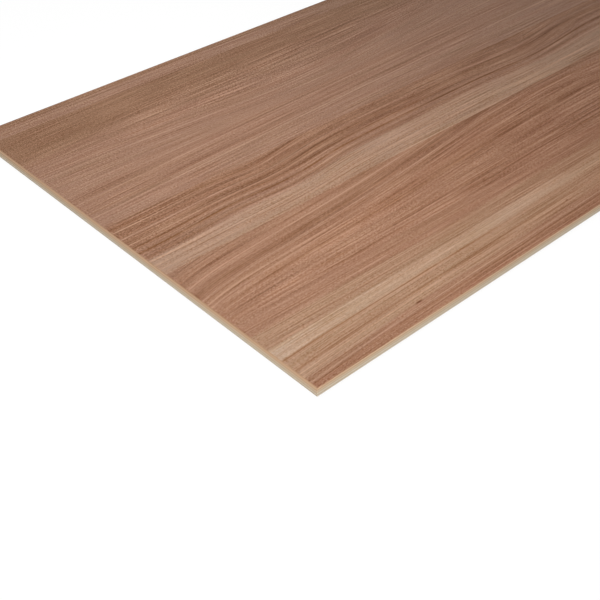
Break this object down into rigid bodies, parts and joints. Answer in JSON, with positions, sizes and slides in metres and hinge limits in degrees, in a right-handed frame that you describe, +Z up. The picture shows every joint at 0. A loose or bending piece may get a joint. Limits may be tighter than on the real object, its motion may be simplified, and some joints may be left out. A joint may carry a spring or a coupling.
{
  "type": "plywood sheet",
  "caption": "Flat rectangular plywood sheet with a brown hardwood face, long streaky grain and pale sawn edges, for cutting into panels and shelves.",
  "frame": {"origin": "middle of the underside, where the sheet lies on a floor", "axes": "+X along the face grain, which is the length; +Y across the grain, which is the width; +Z up through the thickness, out of the show face"},
  "size_m": [1.2, 0.6, 0.012],
  "materials": {
    "face_veneer": "sanded, satin",
    "sawn_edge": "sawn, matt",
    "back_veneer": "sanded, matt"
  },
  "bodies": {
    "root": {"plywood_sheet": "face_veneer"}
  },
  "joints": []
}
